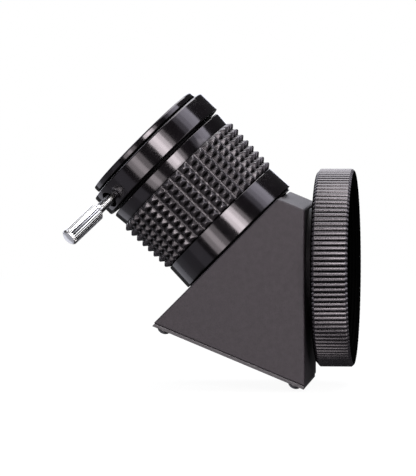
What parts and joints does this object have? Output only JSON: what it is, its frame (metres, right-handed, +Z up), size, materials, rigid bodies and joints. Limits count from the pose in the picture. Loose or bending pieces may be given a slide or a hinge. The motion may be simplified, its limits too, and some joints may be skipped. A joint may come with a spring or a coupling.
{
  "type": "star diagonal",
  "caption": "45-degree erecting prism diagonal: wedge housing, knurled coupling ring, and a helical-focusing eyepiece holder with a studded rubber grip and a thumbscrew.",
  "frame": {"origin": "centre of the flange face that a telescope's rear cell seats on, on the telescope-side optical axis", "axes": "+X along that axis, out of the coupling towards the telescope; +Z up, in the plane of both optical axes; the eyepiece axis points along (-1, 0, 1)"},
  "size_m": [0.0859, 0.06, 0.0885],
  "materials": {
    "housing_paint": "die-cast alloy with fine matte dark grey paint",
    "cover_paint": "sheet with satin black paint",
    "black_steel": "blackened steel",
    "optical_glass": "polished and coated",
    "blackened_metal": "matte black",
    "spring_strip": "spring bronze strip",
    "felt": "black felt",
    "mask_card": "flat black",
    "satin_anodised": "satin black anodised",
    "low_friction_plastic": "waxy white",
    "ring_anodised": "semi-gloss black anodised, straight knurled",
    "gloss_anodised": "gloss black anodised",
    "pin_steel": "plain turned steel",
    "grip_rubber": "studded, slightly shiny",
    "knob_chrome": "bright plated, straight knurled"
  },
  "bodies": {
    "housing": {"prism_housing": "housing_paint", "base_cover": "cover_paint", "cover_screws": "black_steel", "roof_prism": "optical_glass", "prism_cradle": "blackened_metal", "cradle_screws": "black_steel", "prism_clip": "spring_strip", "clip_screws": "black_steel", "prism_pads": "felt", "entrance_mask": "mask_card", "exit_mask": "mask_card", "coupling_flange": "satin_anodised", "flange_screws": "black_steel", "ring_washer": "low_friction_plastic", "holder_base": "gloss_anodised", "holder_screws": "black_steel", "guide_pins": "pin_steel"},
    "coupling_ring": {"lock_ring": "ring_anodised"},
    "focus_ring": {"grip_ring": "gloss_anodised", "grip_sleeve": "grip_rubber", "retaining_screws": "black_steel"},
    "draw_tube": {"draw_tube": "satin_anodised", "clamp_ring": "gloss_anodised", "clamp_grub_screws": "black_steel", "end_ring": "gloss_anodised"},
    "thumbscrew_stem": {"thumbscrew_stem": "pin_steel"},
    "thumbscrew_knob": {"thumbscrew_knob": "knob_chrome"}
  },
  "joints": [
    {"name": "coupling_turn", "type": "hinge", "parent": "housing", "child": "coupling_ring", "pos_m": [0, 0, 0], "axis": [1, 0, 0], "continuous": true},
    {"name": "focus_turn", "type": "hinge", "parent": "housing", "child": "focus_ring", "pos_m": [-0.01968, 0, 0], "axis": [0.7071, 0, -0.7071], "range_deg": [-3, 303]},
    {"name": "focus_travel", "type": "slide", "parent": "housing", "child": "draw_tube", "axis": [-0.7071, 0, 0.7071], "range_m": [0, 0.005]},
    {"name": "thumbscrew_feed", "type": "slide", "parent": "draw_tube", "child": "thumbscrew_stem", "axis": [0.5721, 0.5878, 0.5721], "range_m": [-0.003, 0.002]},
    {"name": "thumbscrew_turn", "type": "hinge", "parent": "thumbscrew_stem", "child": "thumbscrew_knob", "pos_m": [-0.05386, 0, 0.03419], "axis": [0.5721, 0.5878, 0.5721], "range_deg": [-2196, 1476]}
  ],
  "couplings": [
    {"joint": "focus_turn", "follows": "focus_travel", "rad_per_m": 1047.2},
    {"joint": "thumbscrew_turn", "follows": "thumbscrew_feed", "rad_per_m": 12566}
  ]
}
